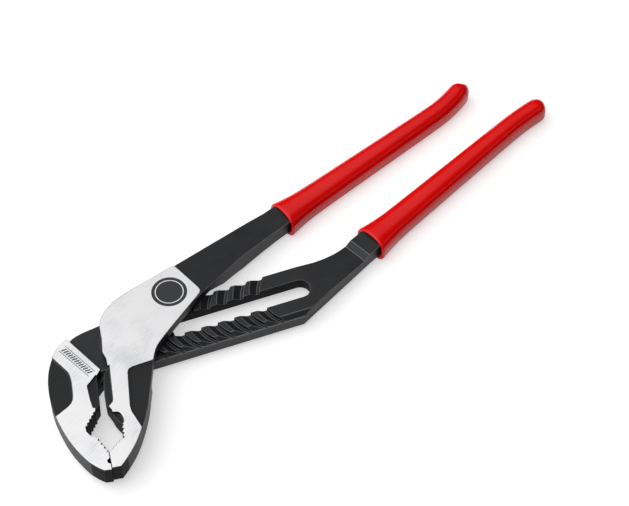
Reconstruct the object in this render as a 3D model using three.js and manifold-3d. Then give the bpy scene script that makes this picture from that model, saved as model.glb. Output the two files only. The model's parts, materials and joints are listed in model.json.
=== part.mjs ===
// Water pump pliers of the 16 inch class, lying flat with the jaws closed at the tip.
// Millimetres, +Z up. Everything is drawn about the pivot axis, with the jaws toward -X and the
// handles toward +X. Height 0 of the drawing is the rear face of the slotted plate.

import * as THREE from 'three';
import { mergeVertices } from 'three/addons/utils/BufferGeometryUtils.js';
import Module from 'manifold-3d';

const wasm = await Module();
wasm.setup();

// Clearances
const FIT = 0.3; // between pieces that are fastened together
const RUN = 0.2; // between pieces that slide or turn on each other

// Heights of the joint, from the rear face of the slotted plate up
const PLATE_THICK = 10.4;
const LEVER_GAP = 0.3;
const LEVER_THICK = 6.7;
const JAW_LIFT = 3.4; // the jaws' undersides are higher than the plate's
const LEVER_UNDER = PLATE_THICK + LEVER_GAP;
const JOINT_TOP = LEVER_UNDER + LEVER_THICK;
const PAD_STEP = 0.5; // the ground pad stands proud of the forged handle
const PANEL_DEPTH = 1.6; // forged panels sunk in the jaws' faces
const NOTCH_DEPTH = 2.4; // half-round notch in the upper jaw's face

// Slot and grooves of the slotted plate, in a frame along the slot
const SLOT_ANGLE = THREE.MathUtils.degToRad(-28.67);
const SLOT_WIDTH = 13.4;
const GROOVE_PITCH = 11;
const GROOVE_COUNT = 10; // one adjusting position to each groove
const GROOVE_DEPTH = 2.6;
const GROOVE_FLOOR = 2;
const GROOVE_SLOPE = 4.5; // run of the groove's easy side
const BEARING_RADIUS = 25.6; // pivot to the groove's steep side
const TONGUE_LEAD = THREE.MathUtils.degToRad(33); // slot's line to the tongue's end on the plate's outer band
const TONGUE_TRAIL = THREE.MathUtils.degToRad(10); // to its other end, short so that wide handles free it
const FAR_EDGE = 17.3; // slot's centre line to the plate's inner edge
const NEAR_EDGE = 20.2; // and to its outer edge
const RIM_SHELF = 0.6; // flat left at the outer edge, level with the grooves
const RIM_SLOPE = 3.2; // run of the slope down to that shelf
const SHOULDER_GAP = 0.5; // jaw's shoulder to the plate's outer edge
const SHOULDER_BACK = 12; // the shoulder stops this far before the pivot, so that the jaws can open
const TRAVEL = (GROOVE_COUNT - 1) * GROOVE_PITCH;
const GROOVE_LEVEL = PLATE_THICK - GROOVE_DEPTH;

// Pivot hardware on the rear side
const TRACK_WIDTH = 24;
const TRACK_DEPTH = 2.3;
const WASHER_THICK = 1.2;
const WASHER_STRAIGHT = 6; // straight length of the oblong washer
const THREAD_DIAMETER = 10;
const NUT_ACROSS_FLATS = 19;
const NUT_THICK = 3.8;
const BORE_DEPTH = 4; // blind bore for the stud in the upper lever
const SHANK_RADIUS = SLOT_WIDTH / 2 - FIT;
const WASHER_TOP = TRACK_DEPTH - RUN;
const NUT_TOP = WASHER_TOP - WASHER_THICK - RUN;

// Handles: a tang of even thickness inside each dipped grip
const TANG_THICK = 10.4;
const TANG_WIDTH = 17;
const TANG_TIP_WIDTH = 10;
const TANG_TAPER = 24; // length over which the tang narrows inside the collar
const TANG_BODY_WIDTH = 14.6;
const TANG_CHAMFER = 2.4; // on the tang's edges inside the grip
const RIM_SETBACK = 8.6; // bare tang ahead of the grip
const GRIP_LENGTH = 172.5;
const GRIP_WALL = 2;
const GRIP_SQUARENESS = 2.7; // of the section, between an ellipse at 2 and a rectangle
const COLLAR_FLARE = 1.9; // extra half width at the grip's front rim
const COLLAR_RAISE = 0.8; // extra thickness there, above and below
const COLLAR_LENGTH = 26;
const RIM_LEAN_SIDE = 0.06; // the dipped rim isn't square: forward to the right, for each mm across
const RIM_LEAN_DOWN = 0.16; // and forward underneath, for each mm of height
const COLLAR_GAP = 0.9; // air between the tang and the flared rim
const COLLAR_GAP_DEPTH = 4;
const GRIP_END_SOLID = 22; // grip past the end of the tang
const GRIP_BEND_LENGTH = 36; // outward bend at the grip's end
const GRIP_TIP_ROUND = 8; // length over which that end is rounded off
const GRIP_CENTRE = TANG_THICK / 2;
const UPPER_HANDLE = { x: 116.5, y: 2.7, angle: THREE.MathUtils.degToRad(-8.1), bend: 6.5 };
const LOWER_HANDLE_OFFSET = { x: 52, y: -7.8 }; // from the slot's last position to the lower tang
const LOWER_HANDLE_ANGLE = THREE.MathUtils.degToRad(-3.4);
const LOWER_HANDLE_BEND = -3;

// Teeth of the jaws
const TOOTH_PITCH = 2.6;
const TIP_TOOTH_PITCH = 3.4; // the rows next to the tip are coarser
const TOOTH_DEPTH = 0.9;
const TIP_TOOTH_DEPTH = 1.2;
const JAW_GAP = 0.3; // left between the closed jaws at the tip
const TIP_STEP = 1.2; // the slotted jaw's tip is this much longer

const COLOURS = {
  forged: 0x34353a,
  zinc: 0xb9bcc2,
  grip: 0xdc2a28,
};

// Points and outlines

function point(x, y) {
  return new THREE.Vector2(x, y);
}

function points(pairs) {
  return pairs.map(([x, y]) => point(x, y));
}

function smooth(pairs, steps) {
  return new THREE.SplineCurve(points(pairs)).getPoints(steps);
}

function slotPoint(along, across) {
  return point(along, across).rotateAround(point(0, 0), SLOT_ANGLE);
}

// A row of teeth from one point to another, to the right of the way there, with the crests at a
// share of the pitch
function serrated(from, to, pitch, depth, crest) {
  const run = to.clone().sub(from);
  const count = Math.max(2, Math.round(run.length() / pitch));
  const inward = point(run.y, -run.x).normalize().multiplyScalar(depth);
  const row = [];
  for (let i = 0; i < count; i += 1) {
    row.push(from.clone().addScaledVector(run, i / count));
    row.push(from.clone().addScaledVector(run, (i + crest) / count).add(inward));
  }
  row.push(to.clone());
  return row;
}

function stadium(halfLength, radius, centre = 0) {
  const shape = new THREE.Shape();
  shape.absarc(centre + halfLength, 0, radius, -Math.PI / 2, Math.PI / 2);
  shape.absarc(centre - halfLength, 0, radius, Math.PI / 2, Math.PI * 1.5);
  return shape.getPoints(16);
}

// Solids

function toSolid(geometry) {
  geometry.deleteAttribute('normal');
  geometry.deleteAttribute('uv');
  const merged = mergeVertices(geometry, 1e-4);
  const index = merged.index.array;
  const triangles = [];
  for (let i = 0; i < index.length; i += 3) {
    const [a, b, c] = [index[i], index[i + 1], index[i + 2]];
    if (a !== b && b !== c && c !== a) triangles.push(a, b, c);
  }
  return new wasm.Manifold(new wasm.Mesh({
    numProp: 3,
    vertProperties: new Float32Array(merged.attributes.position.array),
    triVerts: new Uint32Array(triangles),
  }));
}

function extrusion(outline, depth) {
  return new THREE.ExtrudeGeometry(new THREE.Shape(outline), { depth, bevelEnabled: false });
}

// An outline in X and Y, raised between two heights
function prism(outline, bottom, top) {
  return toSolid(extrusion(outline, top - bottom).translate(0, 0, bottom));
}

// The same with the outline drawn along the slot
function slotPrism(outline, bottom, top) {
  const geometry = extrusion(outline, top - bottom).translate(0, 0, bottom);
  return toSolid(geometry.rotateZ(SLOT_ANGLE));
}

// A profile in Y and Z, run along the slot
function slotBar(profile, start, end) {
  const geometry = extrusion(points(profile), end - start).translate(0, 0, start);
  const yzToRun = new THREE.Matrix4().makeBasis(
    new THREE.Vector3(0, 1, 0), new THREE.Vector3(0, 0, 1), new THREE.Vector3(1, 0, 0));
  return toSolid(geometry.applyMatrix4(yzToRun).rotateZ(SLOT_ANGLE));
}

// A profile in X and Z of a handle's own frame, run across the handle
function acrossHandle(profile, handle, halfWidth) {
  const geometry = extrusion(points(profile), 2 * halfWidth).translate(0, 0, -halfWidth);
  const xzToRun = new THREE.Matrix4().makeBasis(
    new THREE.Vector3(1, 0, 0), new THREE.Vector3(0, 0, 1), new THREE.Vector3(0, -1, 0));
  geometry.applyMatrix4(xzToRun).rotateZ(handle.angle).translate(handle.x, handle.y, 0);
  return toSolid(geometry);
}

// A profile in radius and height, turned about the pivot's axis
function turned(profile, segments) {
  const closed = points([...profile, profile[0]]);
  return toSolid(new THREE.LatheGeometry(closed, segments).rotateX(Math.PI / 2));
}

function cylinder(radius, bottom, top, segments = 48) {
  const geometry = new THREE.CylinderGeometry(radius, radius, top - bottom, segments);
  return toSolid(geometry.rotateX(Math.PI / 2).translate(0, 0, (bottom + top) / 2));
}

// Closed skin over a row of rings of points
function loft(rings) {
  const count = rings[0].length;
  const positions = rings.flat().flatMap((p) => [p.x, p.y, p.z]);
  const triangles = [];
  for (let r = 0; r + 1 < rings.length; r += 1) {
    for (let k = 0; k < count; k += 1) {
      const a = r * count + k;
      const b = r * count + ((k + 1) % count);
      triangles.push(a, b, a + count, b, b + count, a + count);
    }
  }
  const last = (rings.length - 1) * count;
  for (let k = 1; k + 1 < count; k += 1) {
    triangles.push(0, k + 1, k, last, last + k, last + k + 1);
  }
  const geometry = new THREE.BufferGeometry();
  geometry.setAttribute('position', new THREE.Float32BufferAttribute(positions, 3));
  geometry.setIndex(triangles);
  return toSolid(geometry);
}

// Handles, shared by both levers

const lastPosition = slotPoint(TRAVEL, 0);
const lowerHandle = {
  x: lastPosition.x + LOWER_HANDLE_OFFSET.x,
  y: lastPosition.y + LOWER_HANDLE_OFFSET.y,
  angle: LOWER_HANDLE_ANGLE,
  bend: LOWER_HANDLE_BEND,
};
const gripEnd = RIM_SETBACK + GRIP_LENGTH;
const tangEnd = gripEnd - GRIP_END_SOLID;

// Where the handle's bent centre line is at a distance from the tang's root, and its direction
function handleLine(handle, along) {
  const into = Math.max(0, along - (gripEnd - GRIP_BEND_LENGTH)) / GRIP_BEND_LENGTH;
  const turn = Math.atan(2 * handle.bend * into / GRIP_BEND_LENGTH);
  const place = point(along, handle.bend * into * into);
  place.rotateAround(point(0, 0), handle.angle).add(point(handle.x, handle.y));
  return { place, angle: handle.angle + turn };
}

// A ring of section points, given across the handle and up, stood on its centre line. With a lean
// it is raked as the grip's rim is.
function ringAt(handle, along, section, lean = 0) {
  return section.map(([across, up]) => {
    const forward = lean * (RIM_LEAN_DOWN * (GRIP_CENTRE - up) - RIM_LEAN_SIDE * across);
    const { place, angle } = handleLine(handle, along - forward);
    return new THREE.Vector3(place.x - across * Math.sin(angle), place.y + across * Math.cos(angle), up);
  });
}

function tangWidth(along) {
  const into = along - RIM_SETBACK;
  if (into <= 0) return TANG_WIDTH;
  if (into < TANG_TAPER) return THREE.MathUtils.lerp(TANG_WIDTH, TANG_BODY_WIDTH, into / TANG_TAPER);
  const share = (into - TANG_TAPER) / (tangEnd - RIM_SETBACK - TANG_TAPER);
  return THREE.MathUtils.lerp(TANG_BODY_WIDTH, TANG_TIP_WIDTH, share);
}

// The tang itself, or with a margin the room that it needs in the grip
function tang(handle, start, margin) {
  const stops = [start, RIM_SETBACK, RIM_SETBACK + TANG_TAPER, gripEnd - GRIP_BEND_LENGTH, tangEnd + margin];
  const rings = stops.map((along) => {
    const half = tangWidth(Math.min(along, tangEnd)) / 2 + margin;
    const ease = TANG_CHAMFER * THREE.MathUtils.clamp((along - RIM_SETBACK) / TANG_TAPER, 0.02, 1);
    const low = -margin;
    const high = TANG_THICK + margin;
    return ringAt(handle, along, [[half, low + ease], [half, high - ease], [half - ease, high],
      [ease - half, high], [-half, high - ease], [-half, low + ease], [ease - half, low], [half - ease, low]]);
  });
  return loft(rings);
}

// Rounded rectangle as points across and up. A squareness of 2 is an ellipse.
function gripSection(halfWidth, bottom, top, squareness = GRIP_SQUARENESS, sides = 28) {
  const centre = (bottom + top) / 2;
  const halfHeight = (top - bottom) / 2;
  const section = [];
  for (let k = 0; k < sides; k += 1) {
    const turn = (2 * Math.PI * (k + 0.5)) / sides;
    const across = Math.sign(Math.cos(turn)) * Math.abs(Math.cos(turn)) ** (2 / squareness);
    const up = Math.sign(Math.sin(turn)) * Math.abs(Math.sin(turn)) ** (2 / squareness);
    section.push([halfWidth * across, centre + halfHeight * up]);
  }
  return section;
}

function dippedGrip(handle) {
  const bottom = -FIT - GRIP_WALL;
  const top = TANG_THICK + FIT + GRIP_WALL;
  const rings = [];
  const skinWidth = (along) => tangWidth(along) / 2 + FIT + GRIP_WALL;
  for (const share of [0, 0.12, 0.3, 0.5, 0.75, 1]) {
    const along = RIM_SETBACK + share * COLLAR_LENGTH;
    const fade = (1 - share) ** 2;
    const half = skinWidth(along) + COLLAR_FLARE * fade;
    const raise = COLLAR_RAISE * fade;
    rings.push(ringAt(handle, along, gripSection(half, bottom - raise, top + raise), 1 - share));
  }
  const straightEnd = gripEnd - GRIP_BEND_LENGTH;
  for (const share of [0.35, 0.7, 1]) {
    const along = THREE.MathUtils.lerp(RIM_SETBACK + COLLAR_LENGTH, straightEnd, share);
    rings.push(ringAt(handle, along, gripSection(skinWidth(along), bottom, top)));
  }
  const endWidth = skinWidth(tangEnd);
  const endHeight = top - bottom;
  const tipStart = gripEnd - GRIP_TIP_ROUND;
  for (const share of [0.35, 0.7]) {
    const along = THREE.MathUtils.lerp(straightEnd, tipStart, share);
    const half = THREE.MathUtils.lerp(skinWidth(straightEnd), endWidth, share);
    rings.push(ringAt(handle, along, gripSection(half, bottom, top)));
  }
  for (const share of [0, 0.3, 0.55, 0.77, 0.92, 1]) {
    const along = THREE.MathUtils.lerp(tipStart, gripEnd, share);
    const roundness = Math.sqrt(Math.max(0.06, 1 - share ** 2.4));
    const high = bottom + endHeight * THREE.MathUtils.lerp(0.55, 1, roundness);
    const low = bottom + endHeight * 0.3 * (1 - roundness);
    rings.push(ringAt(handle, along, gripSection(endWidth * roundness, low, high)));
  }
  const collarRoom = loft([RIM_SETBACK - COLLAR_GAP_DEPTH, RIM_SETBACK + COLLAR_GAP_DEPTH].map((along) => {
    const half = tangWidth(along) / 2 + COLLAR_GAP;
    return ringAt(handle, along, gripSection(half, -COLLAR_GAP, TANG_THICK + COLLAR_GAP, 8), 1);
  }));
  return loft(rings).subtract(tang(handle, 0, FIT)).subtract(collarRoom);
}

// Slotted lever: jaw, neck and grooved plate, and the lower tang

const BAR_CORNER = [-43.4, 1.2];
const BAR_END = [-40.9, 33.4];
const CONTACT_TIP = point(-89.2, -53.6);
const CONTACT_HEEL = point(-82.2, -44.3);

function slottedJawOutline() {
  const back = smooth([BAR_END, [-48.8, 32.9], [-57, 30.2], [-67.6, 22.7], [-77.6, 11.2], [-85.6, -2.4],
    [-92.4, -20.4], [-95.2, -37], [-94.8, -46], [-93.5, -51.5]], 36);
  const lowerTeeth = serrated(point(-82.9, -43.6), point(-80, -30.4), TIP_TOOTH_PITCH, TIP_TOOTH_DEPTH, 0.12);
  const upperTeeth = serrated(point(-78.9, -21.4), point(-66, -16.9), TOOTH_PITCH, TOOTH_DEPTH, 0.33);
  const facing = CONTACT_TIP.clone().sub(CONTACT_HEEL).normalize();
  return [
    ...back,
    CONTACT_TIP.clone().addScaledVector(facing, TIP_STEP),
    ...points([[-87.2, -51], [-87.9, -49.4], [-87, -47.9], [-84.9, -47.9]]),
    CONTACT_HEEL,
    ...lowerTeeth,
    ...points([[-81.4, -28.4], [-80.9, -24.4]]),
    ...upperTeeth,
    ...points([[-61.8, -15.8], [-48.6, -0.6], BAR_CORNER]),
  ];
}

function slottedPlateOutline() {
  const farEnd = slotPoint(TRAVEL + 16, FAR_EDGE);
  const nearCorner = slotPoint(TRAVEL - 4.3, -NEAR_EDGE);
  const half = TANG_WIDTH / 2;
  const root = ringAt(lowerHandle, 0, [[half, 0], [-half, 0]]).map((p) => point(p.x, p.y));
  const before = ringAt(lowerHandle, -8, [[half + 0.3, 0]]).map((p) => point(p.x, p.y))[0];
  const inner = new THREE.QuadraticBezierCurve(farEnd, slotPoint(TRAVEL + 29, FAR_EDGE + 1), before);
  return [
    ...smooth([[-55, 22], [-46, 31.5], [-37.9, 34.6], [-30.8, 33.9], [-24, 31.6]], 10),
    slotPoint(-28, FAR_EDGE),
    ...inner.getPoints(8),
    ...root,
    nearCorner,
    slotPoint(-36, -NEAR_EDGE),
    ...points([[-45.4, -2.1], [-51.1, -3.3], [-53, 3]]),
  ].reverse();
}

// One adjusting groove: steep on the pivot's side and easy on the jaw's side
function grooveRing(clearance, top) {
  const inner = BEARING_RADIUS + clearance;
  const foot = BEARING_RADIUS + GROOVE_FLOOR - clearance * 0.6;
  const rise = (top - GROOVE_LEVEL - clearance) / GROOVE_DEPTH;
  const outer = foot + GROOVE_SLOPE * rise;
  const low = GROOVE_LEVEL + clearance;
  return turned([[inner, low], [foot, low], [outer, top], [inner, top]], 96);
}

function grooves() {
  const above = PLATE_THICK + 1;
  const reach = BEARING_RADIUS + GROOVE_FLOOR + 2 * GROOVE_SLOPE;
  const jawSide = slotPrism(points([[-reach, -reach], [-1, -reach], [-1, reach], [-reach, reach]]), 0, above + 1);
  const one = grooveRing(0, above).intersect(jawSide);
  const row = [];
  for (let i = 0; i < GROOVE_COUNT; i += 1) {
    const place = slotPoint(i * GROOVE_PITCH, 0);
    row.push(one.translate([place.x, place.y, 0]));
  }
  return wasm.Manifold.union(row);
}

function slottedLever() {
  const above = JOINT_TOP + 1;
  const jaw = prism(slottedJawOutline(), JAW_LIFT, JOINT_TOP);
  const backPanel = prism([
    ...points([[-95, 2], [-86.5, -2.4], [-76, -3.1]]),
    ...smooth([[-73, -2.8], [-68.9, -0.4], [-60.6, 9.6], [-58, 15]], 8),
    ...points([[-56.9, 29.4], [-56.6, 40], [-95, 40]]),
  ], JOINT_TOP - PANEL_DEPTH, above);
  const throatPanel = prism([
    ...points([[-66.3, -15.2], [-63.4, -10]]),
    ...smooth([[-58.4, -2.6], [-57, -1.1], [-54.8, -0.8]], 4),
    ...points([[-48.6, 0.4], [-44.5, -4], [-62, -20]]),
  ].reverse(), JOINT_TOP - PANEL_DEPTH, above);

  const slot = slotPrism(stadium((TRAVEL + 2 * FIT) / 2, SLOT_WIDTH / 2, TRAVEL / 2), -1, above);
  const trackHalf = (TRAVEL + WASHER_STRAIGHT + 2 * RUN) / 2;
  const track = slotPrism(stadium(trackHalf, TRACK_WIDTH / 2, TRAVEL / 2), -1, TRACK_DEPTH);
  const shelf = -NEAR_EDGE + RIM_SHELF;
  const rim = slotBar([[-NEAR_EDGE - 1, GROOVE_LEVEL], [shelf, GROOVE_LEVEL],
    [shelf + RIM_SLOPE, PLATE_THICK], [shelf + RIM_SLOPE, above], [-NEAR_EDGE - 1, above]], -60, TRAVEL + 5);
  const dip = acrossHandle([[-42, PLATE_THICK], [-5.6, PLATE_THICK - 2.7], [-1.2, PLATE_THICK], [-1.2, above],
    [-42, above]], lowerHandle, 2 * NEAR_EDGE);

  const plate = prism(slottedPlateOutline(), 0, PLATE_THICK)
    .subtract(rim)
    .subtract(dip)
    .subtract(grooves());
  return jaw
    .subtract(backPanel)
    .subtract(throatPanel)
    .add(plate)
    .add(tang(lowerHandle, -0.5, 0))
    .subtract(slot)
    .subtract(track);
}

// Upper lever: jaw, pivot boss with its tongue, cranked handle and the upper tang

const BOSS_LEFT = [-39.2, -0.8];
const SHOULDER_CORNER = [-16.6, -18.2];
const PAD_END_INNER = [41.4, -4.9];
const PAD_END_OUTER = [41.5, 23.4];

function upperOutline() {
  const facing = CONTACT_TIP.clone().sub(CONTACT_HEEL).normalize();
  const apart = point(-facing.y, facing.x).multiplyScalar(JAW_GAP);
  const outer = smooth([[-84.6, -57], [-77.5, -55.5], [-67.5, -52.4], [-57, -47.4], [-44, -39.5],
    [-31, -29.5], SHOULDER_CORNER], 24);
  const inner = smooth([SHOULDER_CORNER, [-9, -13.5], [1, -11], [20, -8], PAD_END_INNER], 12);
  const top = smooth([PAD_END_OUTER, [23.5, 27.3], [8, 30.6], [-3.3, 31.5], [-14, 29.2], [-21.2, 24.2]], 20);
  return [
    CONTACT_HEEL.clone().add(apart),
    CONTACT_TIP.clone().add(apart),
    ...outer,
    ...inner.slice(1, -1),
    ...points([[40, -4.9], [41.5, -3.5], [42.2, -1], [44.4, 19.6], [44.4, 21.6], [43.4, 22.9]]),
    ...top,
    ...points([[-27, 16.5], [-33.6, 9.4], [-35.4, 4.5], BOSS_LEFT, [-43.6, -1.9], [-48.6, -6.4],
      [-54.6, -12.9], [-58.6, -18.4], [-60, -24], [-61.6, -28.4], [-62.3, -32]]),
    ...serrated(point(-62.9, -37.4), point(-68.7, -44), TOOTH_PITCH, TIP_TOOTH_DEPTH, 0.8),
    ...serrated(point(-70.5, -44), point(-79, -44.6), TIP_TOOTH_PITCH, TOOTH_DEPTH, 0.5),
  ];
}

function upperHandleOutline() {
  const half = TANG_WIDTH / 2;
  const [left, right] = ringAt(UPPER_HANDLE, 0, [[half, 0], [-half, 0]]).map((p) => point(p.x, p.y));
  const inner = smooth([[30, -6.6], [57.3, -5.1], [78.2, -3.8], [99.1, -4.5], [right.x, right.y]], 14);
  const outer = smooth([[left.x, left.y], [100.9, 14], [79.9, 17.1], [59, 20.2], [40, 23]], 14);
  return [...inner, ...outer];
}

function tongue() {
  const ring = grooveRing(FIT, LEVER_UNDER + 1);
  const reach = 3 * BEARING_RADIUS;
  const sector = slotPrism(points([[0, 0],
    [-reach * Math.cos(TONGUE_TRAIL), reach * Math.sin(TONGUE_TRAIL)],
    [-reach * Math.cos(TONGUE_LEAD), -reach * Math.sin(TONGUE_LEAD)]]), 0, JOINT_TOP);
  return ring.intersect(sector);
}

function upperLever() {
  const above = JOINT_TOP + 1;
  const outline = upperOutline();
  const far = 300;
  const overPlate = slotPrism(points([[-far, -NEAR_EDGE - SHOULDER_GAP], [far, -NEAR_EDGE - SHOULDER_GAP],
    [far, far], [-far, far]]), -1, LEVER_UNDER);
  const besidePlate = slotPrism(points([[-SHOULDER_BACK, -far], [far, -far], [far, far], [-SHOULDER_BACK, far]]),
    -1, LEVER_UNDER);
  const body = prism(outline, JAW_LIFT, JOINT_TOP).subtract(overPlate).subtract(besidePlate);

  const root = -UPPER_HANDLE.x;
  const crank = acrossHandle([[root + 26, LEVER_UNDER], [root + 50, LEVER_UNDER], [root + 63, 4.2],
    [root + 82, 0], [0.5, 0], [0.5, TANG_THICK], [0, TANG_THICK], [root + 40, JOINT_TOP - PAD_STEP],
    [root + 26, JOINT_TOP - PAD_STEP]], UPPER_HANDLE, 60);
  const handle = prism(upperHandleOutline(), 0, JOINT_TOP).intersect(crank);

  const outerPanel = prism([
    ...points([[-17, -18.4], [-28.4, -12.6]]),
    ...smooth([[-30.4, -11.9], [-32.2, -11.9], [-34, -13.1]], 4),
    ...points([[-50.6, -31.2], [-52.8, -34.9], [-56.8, -47.3], [-60, -60], [-12, -60], [-12, -18.4]]),
  ], JOINT_TOP - PANEL_DEPTH, above);
  const throatPanel = prism(points([[-37.6, -0.6], [-54, -19.8], [-55.6, -21], [-62, -21.8], [-62, 2]])
    .reverse(), JOINT_TOP - PANEL_DEPTH, above);
  const notch = prism([
    ...points([[-61.5, -23.4], [-59.8, -24.4], [-61, -26]]),
    ...smooth([[-58.9, -28.4], [-58.4, -30], [-59.2, -33], [-60.6, -35.6], [-62, -36.4]], 8),
    ...points([[-64.8, -36.2], [-68, -33], [-66, -24]]),
  ], JOINT_TOP - NOTCH_DEPTH, above);
  const bore = cylinder(SHANK_RADIUS + FIT, LEVER_UNDER - 1, LEVER_UNDER + BORE_DEPTH);
  return body
    .add(handle)
    .add(tongue())
    .add(tang(UPPER_HANDLE, -0.5, 0))
    .subtract(outerPanel)
    .subtract(throatPanel)
    .subtract(notch)
    .subtract(bore);
}

// Pivot hardware

function pivotStud() {
  const shank = cylinder(SHANK_RADIUS, TRACK_DEPTH, LEVER_UNDER + BORE_DEPTH - FIT);
  return shank.add(cylinder(THREAD_DIAMETER / 2, NUT_TOP - NUT_THICK + RUN, TRACK_DEPTH + 1));
}

function slideWasher() {
  const outline = stadium(WASHER_STRAIGHT / 2, TRACK_WIDTH / 2 - FIT);
  const bottom = WASHER_TOP - WASHER_THICK;
  const hole = cylinder(THREAD_DIAMETER / 2 + FIT, bottom - 1, WASHER_TOP + 1);
  return slotPrism(outline, bottom, WASHER_TOP).subtract(hole);
}

function lockNut() {
  const cornerRadius = NUT_ACROSS_FLATS / Math.sqrt(3);
  const bottom = NUT_TOP - NUT_THICK;
  const hole = cylinder(THREAD_DIAMETER / 2 + FIT, bottom - 1, NUT_TOP + 1);
  return cylinder(cornerRadius, bottom, NUT_TOP, 6).subtract(hole);
}

// Scene graph

function mesh(name, solid, colour, roughness, metalness) {
  const { vertProperties, triVerts, numProp } = solid.getMesh();
  const positions = [];
  for (let i = 0; i < vertProperties.length; i += numProp) {
    positions.push(vertProperties[i], vertProperties[i + 1], vertProperties[i + 2]);
  }
  const geometry = new THREE.BufferGeometry();
  geometry.setAttribute('position', new THREE.Float32BufferAttribute(positions, 3));
  geometry.setIndex([...triVerts]);
  geometry.computeVertexNormals();
  const made = new THREE.Mesh(geometry, new THREE.MeshStandardMaterial({ color: colour, roughness, metalness }));
  made.name = name;
  return made;
}

const pliers = new THREE.Group();
pliers.add(
  mesh('slotted_lever', slottedLever(), COLOURS.forged, 0.45, 0.9),
  mesh('upper_lever', upperLever(), COLOURS.forged, 0.45, 0.9),
  mesh('pivot_stud', pivotStud(), COLOURS.zinc, 0.35, 0.9),
  mesh('slide_washer', slideWasher(), COLOURS.zinc, 0.35, 0.9),
  mesh('lock_nut', lockNut(), COLOURS.zinc, 0.35, 0.9),
  mesh('upper_grip', dippedGrip(UPPER_HANDLE), COLOURS.grip, 0.3, 0),
  mesh('lower_grip', dippedGrip(lowerHandle), COLOURS.grip, 0.3, 0),
);

// The finished tool stands on its lowest point, centred over the origin
const extent = new THREE.Box3().setFromObject(pliers);
const centre = extent.getCenter(new THREE.Vector3());
pliers.position.set(-centre.x, -centre.y, -extent.min.z);

export default pliers;
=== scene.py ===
# Water pump pliers: the finish of every piece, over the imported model.
import json
import math

import bpy
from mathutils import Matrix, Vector


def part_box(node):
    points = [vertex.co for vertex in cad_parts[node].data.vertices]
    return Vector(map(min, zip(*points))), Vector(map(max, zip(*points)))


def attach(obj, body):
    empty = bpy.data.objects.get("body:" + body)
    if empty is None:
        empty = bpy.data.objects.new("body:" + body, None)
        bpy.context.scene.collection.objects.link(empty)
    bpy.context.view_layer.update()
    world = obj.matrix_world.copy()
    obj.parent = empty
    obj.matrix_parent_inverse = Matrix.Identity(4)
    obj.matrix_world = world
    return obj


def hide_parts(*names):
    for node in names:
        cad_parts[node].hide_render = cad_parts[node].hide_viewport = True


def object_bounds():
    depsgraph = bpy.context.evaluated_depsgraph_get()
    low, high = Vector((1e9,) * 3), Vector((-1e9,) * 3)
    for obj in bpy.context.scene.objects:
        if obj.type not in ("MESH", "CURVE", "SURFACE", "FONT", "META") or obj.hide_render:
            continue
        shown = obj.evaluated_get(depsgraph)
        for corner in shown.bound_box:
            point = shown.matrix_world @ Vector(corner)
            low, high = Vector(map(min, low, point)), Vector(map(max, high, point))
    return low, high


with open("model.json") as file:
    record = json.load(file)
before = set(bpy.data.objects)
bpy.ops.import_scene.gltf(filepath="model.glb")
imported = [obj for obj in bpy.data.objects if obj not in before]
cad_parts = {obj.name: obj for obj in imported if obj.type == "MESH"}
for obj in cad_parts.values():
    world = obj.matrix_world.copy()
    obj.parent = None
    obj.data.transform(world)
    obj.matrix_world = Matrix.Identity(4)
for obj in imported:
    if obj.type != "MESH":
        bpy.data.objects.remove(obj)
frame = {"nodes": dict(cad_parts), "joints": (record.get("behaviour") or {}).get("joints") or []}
cad_low, cad_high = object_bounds()

MM = 0.001

# The photograph's frame and viewing angle
IMAGE_WIDTH = 629
FOCAL_PIXELS = 1900
SENSOR_WIDTH = 36
CAMERA_DISTANCE = 1246.4 * MM
CAMERA_ELEVATION = math.radians(52.25)
CAMERA_BEARING = Vector((-0.7578, -0.6525))
CAMERA_TARGET = Vector((122.0, -29.9, 1.5)) * MM  # from the pivot, at the resting plane

# Studio: a dome whose brightness falls off with the angle from its middle, and the floor's paper with the
# white that the camera sees added
DOME_MIDDLE = Vector((-0.35, 0.4, 0.85)).normalized()
DOME_LEVELS = ((0.0, 0.03), (0.48, 0.06), (0.6, 0.72), (0.67, 0.84), (0.85, 1.5), (1.0, 2.1))  # by the cosine
FLOOR_COLOUR = "#E1E1E1"
FLOOR_LIFT = 0.5
FLOOR_SIZE = 8
STRIP_LIGHT = (math.radians(33), 1.6, (1.2, 0.05), 0.4)  # elevation, distance, size and power

# Frame values: the pivot, the slot's direction and the height of the ground faces
joints = {joint["name"]: joint for joint in frame["joints"]}
pivot = Vector(joints["handle_pivot"]["pos_m"][:2] + [0])
slot_axis = Vector(joints["jaw_adjust"]["axis"])
ground_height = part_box("upper_lever")[1].z

# Where most of a noise texture's values lie
NOISE_SPAN = (0.3, 0.7)

# Finish of the forgings
EDGE_ROUND = 0.3 * MM
HARDWARE_ROUND = 0.3 * MM
SHARP_ANGLE = math.radians(30)
FLAT_ANGLE = math.radians(1.0)
WELD = 0.08 * MM
EDGE_STEPS = 2
GROUND_REACH = 0.02 * MM  # a level face this near the ground height is a ground face
LEVEL_SLOPE = 0.999  # least upward part of a level face's normal
STEEP_SLOPE = 0.5  # greatest upward part of a wall's normal
JAW_START = 36 * MM  # pivot to where the jaws' darker faces begin
GROOVE_REACH = 19 * MM  # slot's middle line to the grooves' outer ends
GROOVE_BAND = (6 * MM, 13.45 * MM)  # heights of the walls of the grooves and slot

# Contact of the jaws at the tip, from the pivot
CONTACT_HEEL = Vector((-82.2, -44.3, 0))
CONTACT_TIP = Vector((-89.2, -53.6, 0))
JAW_GAP = 0.3
SEAM_LEFT = 0.05
SEAM_REACH = 0.02 * MM

# Middle line of the mouth and throat, from the pivot, and how far its walls, which get painted shade, lie
# from it
MOUTH_LINE = ((-44, -1), (-60, -17), (-72, -31), (-85, -48))
MOUTH_REACH = 11.5 * MM

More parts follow.
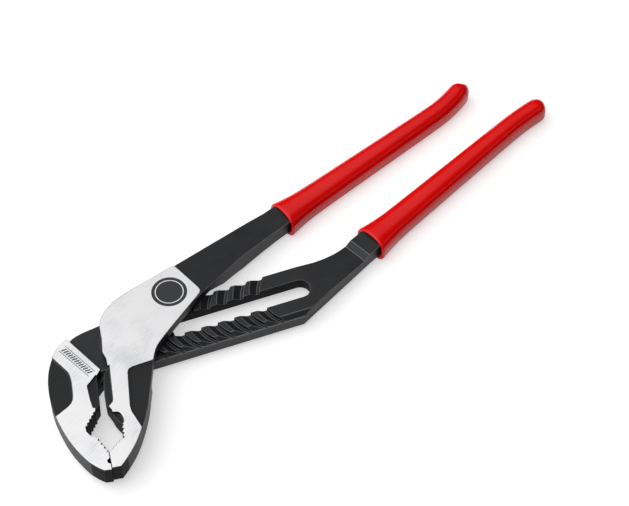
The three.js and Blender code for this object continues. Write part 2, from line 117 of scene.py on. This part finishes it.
# Grips, in millimetres along the handle from the tang's root. Each ring of the lip has its place behind the
# rim and its reach past the tang's side and top.
TANG_THICK = 10.4
TANG_WIDTH = 17.0
TANG_BODY_WIDTH = 14.6
TANG_TIP_WIDTH = 10.0
TANG_TAPER = 24.0
RIM_SETBACK = 8.6
GRIP_LENGTH = 172.5
GRIP_WALL = 2.3
GRIP_CORNERS = (0.86, 0.5)  # roundness of the section's upper and lower corners, as a share of its half size
CORNER_STEPS = 6
SLEEVE_SMOOTHING = 2
BORE_GAP = 0.4
BORE_END_GAP = 0.5
LIP_DEPTH = 6.0
LIP_RINGS = ((3.2, 0.8, 0.7), (0.9, 1.3, 0.9), (0.1, 2.0, 1.5), (0.0, 3.2, 2.4), (0.7, 4.0, 3.0))
GRIP_END_SOLID = 22.0
GRIP_BEND_LENGTH = 36.0
GRIP_TIP_ROUND = 8.0
TIP_POWER = 2.4
TIP_LEAST = 0.03
TIP_FLATNESS = 0.3
COLLAR_FLARE = 1.9
COLLAR_RAISE = 0.8
COLLAR_LENGTH = 26.0
RIM_LEAN = (math.atan(0.16), math.atan(0.06))  # forward underneath, and forward to the right
SLOT_TRAVEL = 99.0
UPPER_HANDLE = (Vector((116.5, 2.7, 0)), math.radians(-8.1), 6.5)
LOWER_HANDLE_OFFSET = Vector((52, -7.8, 0))
LOWER_HANDLE_ANGLE = math.radians(-3.4)
LOWER_HANDLE_BEND = -3.0
REAR_FACE = 3.1  # height of the tangs' underside over the resting plane

# Marks on the ground faces, from the pivot
MARK_CENTRE = Vector((27.3, 10.0, 0))
MARK_RADIUS = 11.4
MARK_SIDES = 96
MARK_RING = (9.2, 8.6)
MARK_THICK = 0.04
HATCH_START = Vector((-47.9, 28.4, 0))
HATCH_END = Vector((-49.2, 4.6, 0))
HATCH_COUNT = 13
HATCH_SIZE = (3.4, 1.0)
HATCH_SLANT = math.radians(24)
HATCH_LINE = 0.4  # width of the two lines beside the strokes
HATCH_SPACE = 2.5  # from the middle of the row to each of those lines


# Selection and modelling helpers

def deselect_all():
    if bpy.context.object and bpy.context.object.mode != "OBJECT":
        bpy.ops.object.mode_set(mode="OBJECT")
    bpy.ops.object.select_all(action="DESELECT")


def activate(piece):
    deselect_all()
    piece.select_set(True)
    bpy.context.view_layer.objects.active = piece


def edit(piece):
    activate(piece)
    bpy.ops.object.mode_set(mode="EDIT")
    bpy.ops.mesh.select_all(action="SELECT")


def leave_edit():
    bpy.ops.object.mode_set(mode="OBJECT")


def select_vertices(piece, test):
    """Selects the vertices whose places pass a test, and stays in edit mode."""
    bpy.ops.mesh.select_all(action="DESELECT")
    leave_edit()
    for vertex in piece.data.vertices:
        vertex.select = test(vertex.co)
    bpy.ops.object.mode_set(mode="EDIT")


def settle(piece):
    """Puts a piece's place into its mesh, so that its object sits at the origin."""
    activate(piece)
    bpy.ops.object.transform_apply(location=True, rotation=True, scale=True)


def apply_modifier(piece, kind, **settings):
    activate(piece)
    modifier = piece.modifiers.new(kind.title(), kind)
    for name, value in settings.items():
        setattr(modifier, name, value)
    bpy.ops.object.modifier_apply(modifier=modifier.name)


def finish_piece(piece, body, node=None):
    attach(piece, body)
    if node:
        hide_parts(node)


# Materials

def linear(colour):
    """An sRGB hex colour as linear RGBA."""
    parts = [int(colour[i:i + 2], 16) / 255 for i in (1, 3, 5)]
    return (*[c / 12.92 if c <= 0.04045 else ((c + 0.055) / 1.055) ** 2.4 for c in parts], 1)


def add_node(tree, kind, inputs=None, **settings):
    node = tree.nodes.new(kind)
    for name, value in settings.items():
        setattr(node, name, value)
    for socket, value in (inputs or {}).items():
        if isinstance(value, bpy.types.NodeSocket):
            tree.links.new(value, node.inputs[socket])
        else:
            node.inputs[socket].default_value = value
    return node


def start_material(name):
    material = bpy.data.materials.new(name)
    material.use_nodes = True
    tree = material.node_tree
    tree.nodes.clear()
    place = add_node(tree, "ShaderNodeTexCoord").outputs["Object"]
    return material, tree, place


def end_material(tree, shader):
    add_node(tree, "ShaderNodeOutputMaterial", {"Surface": shader.outputs[0]})


def noise(tree, vector, scale, detail):
    node = add_node(tree, "ShaderNodeTexNoise", {"Vector": vector, "Scale": scale, "Detail": detail})
    return node.outputs["Fac"]


def total(tree, first, second):
    return add_node(tree, "ShaderNodeMath", {0: first, 1: second}, operation="ADD").outputs[0]


def two_tones(tree, source, *stops):
    """A colour that follows a value, from two stops with a position and a hex colour each."""
    ramp = add_node(tree, "ShaderNodeValToRGB", {"Fac": source})
    for element, (position, colour) in zip(ramp.color_ramp.elements, stops):
        element.position = position
        element.color = linear(colour)
    return ramp.outputs["Color"]


def spread(tree, source, low, high, span=NOISE_SPAN):
    """A roughness that goes from low to high as a value goes over its span."""
    node = add_node(tree, "ShaderNodeMapRange", {0: source, 1: span[0], 2: span[1], 3: low, 4: high})
    return node.outputs[0]


def bumps(tree, height, strength, depth):
    node = add_node(tree, "ShaderNodeBump", {"Height": height, "Strength": strength, "Distance": depth})
    return node.outputs["Normal"]


def black_oxide_steel(name, dark, light, rough_level, gloss):
    """Forged steel, blasted and blackened: a close dark grain, a faint mottle and a satin sheen."""
    material, tree, place = start_material(name)
    mottle_mm, grain_mm = 9.0, 0.9  # the blast grain is finer, and is drawn coarse enough to show
    rough_swing = 0.07
    mottle = noise(tree, place, 1 / (mottle_mm * MM), 4.0)
    grain = noise(tree, place, 1 / (grain_mm * MM), 3.0)
    shader = add_node(tree, "ShaderNodeBsdfPrincipled", {
        "Base Color": two_tones(tree, total(tree, mottle, grain), (0.7, dark), (1.0, light)),
        "Roughness": spread(tree, grain, rough_level - rough_swing, rough_level + rough_swing),
        "Specular IOR Level": gloss,
        "Normal": bumps(tree, grain, 0.4, 0.15 * MM)})
    end_material(tree, shader)
    return material


def ground_steel():
    """Steel ground on a belt after blackening: bright, with a fine slanting scratch and a soft reflection."""
    material, tree, place = start_material("ground_steel")
    scratch_mm, run_mm, cloud_mm = 0.6, 7.0, 22.0  # belt scratches are finer, and are drawn to show
    scratch_angle = math.radians(38)
    turned = add_node(tree, "ShaderNodeMapping", {
        "Vector": place, "Rotation": (0, 0, scratch_angle),
        "Scale": (1 / (run_mm * MM), 1 / (scratch_mm * MM), 1 / (run_mm * MM))})
    scratch = noise(tree, turned.outputs[0], 1.0, 5.0)
    cloud = noise(tree, place, 1 / (cloud_mm * MM), 2.0)
    shader = add_node(tree, "ShaderNodeBsdfPrincipled", {
        "Base Color": two_tones(tree, total(tree, scratch, cloud), (0.7, "#D6D7DA"), (1.0, "#EDEDEE")),
        "Roughness": spread(tree, scratch, 0.36, 0.5),
        "Metallic": 1.0,
        "Normal": bumps(tree, scratch, 0.1, 0.05 * MM)})
    end_material(tree, shader)
    return material


def dipped_vinyl():
    """Vinyl that set on the hot handle: deep red, wet gloss, with a slight orange peel."""
    material, tree, place = start_material("dipped_vinyl")
    peel_mm, flow_mm = 6.0, 30.0
    peel = noise(tree, place, 1 / (peel_mm * MM), 0.0)
    flow = noise(tree, place, 1 / (flow_mm * MM), 3.0)
    shader = add_node(tree, "ShaderNodeBsdfPrincipled", {
        "Base Color": two_tones(tree, flow, (0.3, "#E60403"), (0.7, "#EE0705")),
        "Roughness": spread(tree, peel, 0.13, 0.18),
        "IOR": 1.5, "Specular IOR Level": 0.34,
        "Normal": bumps(tree, peel, 0.03, 0.1 * MM)})
    end_material(tree, shader)
    return material


def zinc_plate():
    """Turned steel with bright zinc: a cool grey with a fine spangle."""
    material, tree, place = start_material("zinc_plate")
    spangle_mm = 1.4
    spangle = add_node(tree, "ShaderNodeTexVoronoi", {"Vector": place, "Scale": 1 / (spangle_mm * MM)})
    reach = spangle.outputs["Distance"]
    shader = add_node(tree, "ShaderNodeBsdfPrincipled", {
        "Base Color": two_tones(tree, reach, (0.0, "#A7ABB2"), (1.0, "#C3C7CD")),
        "Roughness": spread(tree, reach, 0.28, 0.42, (0.0, 0.8)),
        "Metallic": 1.0})
    end_material(tree, shader)
    return material


def pad_print(name, colour):
    """Ink printed on the ground face: flat, slightly broken by the scratch under it."""
    material, tree, place = start_material(name)
    break_mm = 1.1
    patch = noise(tree, place, 1 / (break_mm * MM), 3.0)
    shader = add_node(tree, "ShaderNodeBsdfPrincipled", {
        "Base Color": linear(colour), "Roughness": spread(tree, patch, 0.45, 0.65)})
    end_material(tree, shader)
    return material


black_oxide = black_oxide_steel("black_oxide_steel", "#1B1C1E", "#252628", 0.45, 0.32)
# Painted shade: an almost black copy of the oxide for the walls of the grooves, slot and mouth, where shade
# falls
painted_shade_oxide = black_oxide_steel("painted_shade_black_steel", "#0A0A0B", "#121213", 0.55, 0.1)
# A darker copy of the oxide for the plain faces of the neck and jaws
jaw_oxide = black_oxide_steel("darker_jaw_black_steel", "#131416", "#1C1D1F", 0.47, 0.27)
# Edge wear and painted highlight: a lighter copy of the oxide for the eased edges, standing in for the light
# they catch
edge_wear_and_highlight_oxide = black_oxide_steel("edge_wear_and_highlight_steel", "#4C4D50", "#5C5D61", 0.36, 0.5)
bright_steel = ground_steel()
red_vinyl = dipped_vinyl()
zinc = zinc_plate()
black_ink = pad_print("black_pad_print", "#2A2B2E")
grey_ink = pad_print("grey_pad_print", "#4E4F52")


# Camera and stage

def photograph_camera():
    data = bpy.data.cameras.new("photograph_camera")
    data.sensor_width = SENSOR_WIDTH
    data.lens = SENSOR_WIDTH * FOCAL_PIXELS / IMAGE_WIDTH
    camera = bpy.data.objects.new("photograph_camera", data)
    bpy.context.scene.collection.objects.link(camera)
    level = CAMERA_BEARING.normalized() * math.cos(CAMERA_ELEVATION)
    back = Vector((level.x, level.y, math.sin(CAMERA_ELEVATION)))
    camera.location = pivot + CAMERA_TARGET + back * CAMERA_DISTANCE
    camera.rotation_euler = (-back).to_track_quat("-Z", "Y").to_euler()
    bpy.context.scene.camera = camera


def studio_floor():
    deselect_all()
    bpy.ops.mesh.primitive_plane_add(size=FLOOR_SIZE)
    floor = bpy.context.object
    floor.name = "studio_floor"
    material, tree, _ = start_material("white_sweep_paper")
    rays = add_node(tree, "ShaderNodeLightPath").outputs
    seen = total(tree, total(tree, rays["Is Camera Ray"], rays["Is Glossy Ray"]), rays["Is Transmission Ray"])
    lift = add_node(tree, "ShaderNodeMath", {0: seen, 1: FLOOR_LIFT}, operation="MULTIPLY")
    paper = add_node(tree, "ShaderNodeBsdfDiffuse", {"Color": linear(FLOOR_COLOUR)})
    glow = add_node(tree, "ShaderNodeEmission", {"Strength": lift.outputs[0]})
    end_material(tree, add_node(tree, "ShaderNodeAddShader", {0: paper.outputs[0], 1: glow.outputs[0]}))
    floor.data.materials.append(material)


def studio_world():
    """A dome that is bright over the tool's left side and dark low down on its right."""
    world = bpy.data.worlds.new("studio_dome")
    bpy.context.scene.world = world
    world.use_nodes = True
    tree = world.node_tree
    tree.nodes.clear()
    direction = add_node(tree, "ShaderNodeTexCoord").outputs["Generated"]
    toward = add_node(tree, "ShaderNodeVectorMath", {0: direction, 1: DOME_MIDDLE}, operation="DOT_PRODUCT")
    tone = add_node(tree, "ShaderNodeValToRGB", {"Fac": toward.outputs["Value"]})
    stops = tone.color_ramp.elements
    for cosine, _ in DOME_LEVELS[1:-1]:
        stops.new(cosine)
    for index, (cosine, level) in enumerate(DOME_LEVELS):
        stops[index].position = cosine
        stops[index].color = (level, level, level, 1)
    background = add_node(tree, "ShaderNodeBackground", {"Color": tone.outputs["Color"], "Strength": 1.0})
    add_node(tree, "ShaderNodeOutputWorld", {"Surface": background.outputs[0]})


def soft_box(name, bearing, elevation, distance, size, power):
    """A rectangular lamp that looks at the middle of the tool from a bearing and a height."""
    aim = (cad_low + cad_high) / 2
    level = bearing.normalized() * math.cos(elevation)
    place = aim + Vector((level.x, level.y, math.sin(elevation))) * distance
    data = bpy.data.lights.new(name, "AREA")
    data.shape = "RECTANGLE"
    data.size, data.size_y = size
    data.energy = power
    lamp = bpy.data.objects.new(name, data)
    bpy.context.scene.collection.objects.link(lamp)
    lamp.location = place
    lamp.rotation_euler = (aim - place).to_track_quat("-Z", "Y").to_euler()


# Forged levers

def close_seam(piece):
    """Brings the upper jaw's contact face up to the other jaw's, so that no light shows between them."""
    heel = pivot + CONTACT_HEEL * MM
    tip = pivot + CONTACT_TIP * MM
    way = (tip - heel).normalized()
    apart = Vector((-way.y, way.x, 0))

    def on_contact(place):
        along = (place - heel).dot(way)
        off = (place - heel).dot(apart)
        return -WELD < along < (tip - heel).length + WELD and abs(off - JAW_GAP * MM) < SEAM_REACH

    select_vertices(piece, on_contact)
    bpy.ops.transform.translate(value=apart * (SEAM_LEFT - JAW_GAP) * MM)


def rounded_copy(node, name, width, materials):
    """A copy of a rigid solid with its faces joined and its edges eased. The edges get the last material."""
    source = frame["nodes"][node]
    piece = bpy.data.objects.new(name, source.data.copy())
    bpy.context.scene.collection.objects.link(piece)
    piece.data.materials.clear()
    edit(piece)
    bpy.ops.mesh.remove_doubles(threshold=WELD)
    bpy.ops.mesh.dissolve_limited(angle_limit=FLAT_ANGLE)
    if node == "upper_lever":
        close_seam(piece)
    leave_edit()
    for material in materials:
        piece.data.materials.append(material)
    apply_modifier(piece, "BEVEL", width=width, segments=EDGE_STEPS, limit_method="ANGLE",
                   angle_limit=SHARP_ANGLE, use_clamp_overlap=False, material=len(materials) - 1)
    activate(piece)
    bpy.ops.object.shade_smooth_by_angle(angle=SHARP_ANGLE)
    apply_modifier(piece, "WEIGHTED_NORMAL", keep_sharp=True)
    return piece


def in_mouth(place):
    """Whether a place lies near the middle line of the jaws' mouth and throat."""
    for start, end in zip(MOUTH_LINE, MOUTH_LINE[1:]):
        start, end = pivot.xy + Vector(start) * MM, pivot.xy + Vector(end) * MM
        share = (place.xy - start).dot(end - start) / (end - start).length_squared
        if (place.xy - start.lerp(end, min(1, max(0, share)))).length < MOUTH_REACH:
            return True
    return False


def in_grooves(place):
    """Whether a place lies in the slot or on the grooved bands beside it."""
    off = place.xy - pivot.xy
    along, across = off.dot(slot_axis.xy), slot_axis.xy.cross(off)
    low, high = GROOVE_BAND
    beside_slot = -GROOVE_REACH < along < SLOT_TRAVEL * MM + GROOVE_REACH and abs(across) < GROOVE_REACH
    return beside_slot and low < place.z < high


def forged_lever(node, name, body):
    # The last finish, the lighter oxide, goes on the eased edges as wear and painted highlight
    finishes = (black_oxide, bright_steel, painted_shade_oxide, jaw_oxide, edge_wear_and_highlight_oxide)
    piece = rounded_copy(node, name, EDGE_ROUND, finishes)
    for face in piece.data.polygons:
        on_top = abs(face.center.z - ground_height) < GROUND_REACH
        wall = abs(face.normal.z) < STEEP_SLOPE
        plain = finishes[face.material_index] == black_oxide
        if on_top and face.normal.z > LEVEL_SLOPE:
            face.material_index = finishes.index(bright_steel)
        # Walls in the mouth, slot and grooves get the almost black oxide as painted shade
        elif wall and (in_mouth(face.center) or in_grooves(face.center)):
            face.material_index = finishes.index(painted_shade_oxide)
        elif plain and face.center.x < pivot.x - JAW_START:
            face.material_index = finishes.index(jaw_oxide)
    finish_piece(piece, body, node)


def hardware(node, name, body):
    piece = rounded_copy(node, name, HARDWARE_ROUND, (zinc,))
    finish_piece(piece, body, node)


# Dipped grips

GRIP_END = RIM_SETBACK + GRIP_LENGTH
TANG_END = GRIP_END - GRIP_END_SOLID
BEND_START = GRIP_END - GRIP_BEND_LENGTH


def tang_half(along):
    into = along - RIM_SETBACK
    if into <= 0:
        return TANG_WIDTH / 2
    if into < TANG_TAPER:
        return (TANG_WIDTH + (TANG_BODY_WIDTH - TANG_WIDTH) * into / TANG_TAPER) / 2
    share = min(1, (into - TANG_TAPER) / (TANG_END - RIM_SETBACK - TANG_TAPER))
    return (TANG_BODY_WIDTH + (TANG_TIP_WIDTH - TANG_BODY_WIDTH) * share) / 2


def grip_stations():
    """Rings from the sleeve's blind end forward to the rim, round its lip and back over the outside to the
    tip: along, half width, half height and how far the ring leans with the rim."""
    room = TANG_THICK / 2
    rings = [(TANG_END + BORE_END_GAP, TANG_TIP_WIDTH / 2 + BORE_GAP, room + BORE_GAP, 0)]
    for along in (BEND_START, RIM_SETBACK + COLLAR_LENGTH, RIM_SETBACK + LIP_DEPTH):
        rings.append((along, tang_half(along) + BORE_GAP, room + BORE_GAP, 0))
    for behind, beside, above in LIP_RINGS:
        rings.append((RIM_SETBACK + behind, TANG_WIDTH / 2 + beside, room + above, 1))
    for share in (0.1, 0.2, 0.32, 0.48, 0.7, 1.0):
        along = RIM_SETBACK + share * COLLAR_LENGTH
        fade = (1 - share) ** 2
        rings.append((along, tang_half(along) + GRIP_WALL + COLLAR_FLARE * fade,
                      room + GRIP_WALL + COLLAR_RAISE * fade, 1 - share))
    for share in (0.25, 0.5, 0.75, 1.0):
        along = RIM_SETBACK + COLLAR_LENGTH + share * (BEND_START - RIM_SETBACK - COLLAR_LENGTH)
        rings.append((along, tang_half(along) + GRIP_WALL, room + GRIP_WALL, 0))
    end_half = TANG_TIP_WIDTH / 2 + GRIP_WALL
    for share in (0.3, 0.6, 0.85):
        along = BEND_START + share * (GRIP_BEND_LENGTH - GRIP_TIP_ROUND)
        half = (tang_half(BEND_START) + GRIP_WALL) * (1 - share) + end_half * share
        rings.append((along, half, room + GRIP_WALL, 0))
    for share in (0.08, 0.3, 0.52, 0.72, 0.88, 0.97, 1.0):
        swell = math.sqrt(max(TIP_LEAST, 1 - share ** TIP_POWER))
        rings.append((GRIP_END - GRIP_TIP_ROUND * (1 - share), end_half * swell,
                      (room + GRIP_WALL) * (TIP_FLATNESS + (1 - TIP_FLATNESS) * swell), 0))
    return rings


def dipped_grip(name, handle, body, node):
    root, angle, bend = handle
    deselect_all()
    bpy.ops.mesh.primitive_plane_add(size=2, rotation=(0, math.pi / 2, 0))
    grip = bpy.context.object
    grip.name = name
    settle(grip)
    edit(grip)
    for upper, offset in ((True, GRIP_CORNERS[0]), (False, GRIP_CORNERS[1])):
        select_vertices(grip, lambda place: (place.z > 0) == upper and abs(abs(place.z) - 1) < WELD)
        bpy.ops.mesh.bevel(offset=offset, segments=CORNER_STEPS, affect="VERTICES")
    bpy.ops.mesh.select_all(action="SELECT")
    half, high, lean, yaw = 1.0, 1.0, 0.0, 0.0
    centre = Vector((0, 0, 0))
    for index, (along, new_half, new_high, new_lean) in enumerate(grip_stations()):
        into = max(0, along - BEND_START) / GRIP_BEND_LENGTH
        target = Vector((along, bend * into * into, TANG_THICK / 2)) * MM
        new_yaw = math.atan(2 * bend * into / GRIP_BEND_LENGTH)
        if index:
            bpy.ops.mesh.extrude_region_move(TRANSFORM_OT_translate={"value": target - centre})
        else:
            bpy.ops.transform.translate(value=target - centre)
        centre = target
        growth = (1, new_half * MM / half, new_high * MM / high)
        bpy.ops.transform.resize(value=growth, center_override=centre)
        pitch = RIM_LEAN[0] * (new_lean - lean)
        turn = new_yaw - yaw - RIM_LEAN[1] * (new_lean - lean)
        bpy.ops.transform.rotate(value=-turn, orient_axis="Z", center_override=centre)
        bpy.ops.transform.rotate(value=-pitch, orient_axis="Y", center_override=centre)
        half, high, lean, yaw = new_half * MM, new_high * MM, new_lean, new_yaw
    bpy.ops.mesh.select_all(action="SELECT")
    bpy.ops.mesh.normals_make_consistent(inside=False)
    leave_edit()
    grip.location = pivot + root * MM + Vector((0, 0, REAR_FACE * MM))
    grip.rotation_euler = (0, 0, angle)
    settle(grip)
    apply_modifier(grip, "SUBSURF", levels=SLEEVE_SMOOTHING, render_levels=SLEEVE_SMOOTHING)
    activate(grip)
    bpy.ops.object.shade_smooth()
    grip.data.materials.append(red_vinyl)
    finish_piece(grip, body, node)


# Marks on the ground faces

def pad_mark():
    """A plain printed disc with a fine open ring."""
    deselect_all()
    centre = pivot + MARK_CENTRE * MM
    bpy.ops.mesh.primitive_circle_add(vertices=MARK_SIDES, radius=MARK_RADIUS * MM, fill_type="NGON",
                                      location=centre + Vector((0, 0, ground_height)))
    mark = bpy.context.object
    mark.name = "pad_mark"
    settle(mark)
    edit(mark)
    for outer, inner in ((MARK_RADIUS, MARK_RING[0]), MARK_RING):
        bpy.ops.mesh.inset(thickness=(outer - inner) * MM, depth=0)
    leave_edit()
    mark.data.materials.append(black_ink)
    mark.data.materials.append(bright_steel)
    for face in mark.data.polygons:
        reach = (face.center.xy - centre.xy).length / MM
        face.material_index = 1 if MARK_RING[1] < reach < MARK_RING[0] else 0
    apply_modifier(mark, "SOLIDIFY", thickness=MARK_THICK * MM, offset=1)
    finish_piece(mark, "upper_lever")


def bar_hatch():
    """A plain row of slanted strokes along the raised bar of the jaw."""
    run = HATCH_END - HATCH_START
    way = math.atan2(run.y, run.x)
    across = Vector((-math.sin(way), math.cos(way), 0))
    lift = Vector((0, 0, ground_height))

    def patch(centre, size, angle):
        deselect_all()
        bpy.ops.mesh.primitive_plane_add(size=1)
        piece = bpy.context.object
        piece.scale = (size[0] * MM, size[1] * MM, 1)
        piece.rotation_euler = (0, 0, angle)
        piece.location = pivot + centre * MM + lift
        settle(piece)
        return piece

    hatch = patch(HATCH_START, HATCH_SIZE, way + math.pi / 2 - HATCH_SLANT)
    hatch.name = "bar_hatch"
    apply_modifier(hatch, "ARRAY", count=HATCH_COUNT, use_relative_offset=False, use_constant_offset=True,
                   constant_offset_displace=run * MM / (HATCH_COUNT - 1))
    middle = (HATCH_START + HATCH_END) / 2
    lines = [patch(middle + across * side * HATCH_SPACE, (run.length + HATCH_SIZE[0], HATCH_LINE), way)
             for side in (-1, 1)]
    activate(hatch)
    for line in lines:
        line.select_set(True)
    bpy.ops.object.join()
    apply_modifier(hatch, "SOLIDIFY", thickness=MARK_THICK * MM, offset=1)
    hatch.data.materials.append(grey_ink)
    finish_piece(hatch, "slotted_lever")


photograph_camera()
studio_floor()
studio_world()
image_right = Vector((-CAMERA_BEARING.y, CAMERA_BEARING.x))
soft_box("right_strip", image_right, *STRIP_LIGHT)

forged_lever("slotted_lever", "slotted_lever_forging", "slotted_lever")
forged_lever("upper_lever", "upper_lever_forging", "upper_lever")
hardware("pivot_stud", "stud", "upper_lever")
hardware("slide_washer", "oblong_washer", "carriage")
hardware("lock_nut", "hex_nut", "upper_lever")

lower_root = slot_axis * SLOT_TRAVEL + LOWER_HANDLE_OFFSET
lower_handle = (lower_root, LOWER_HANDLE_ANGLE, LOWER_HANDLE_BEND)
dipped_grip("upper_sleeve", UPPER_HANDLE, "upper_lever", "upper_grip")
dipped_grip("lower_sleeve", lower_handle, "slotted_lever", "lower_grip")
pad_mark()
bar_hatch()

bpy.context.scene.view_settings.view_transform = "Standard"
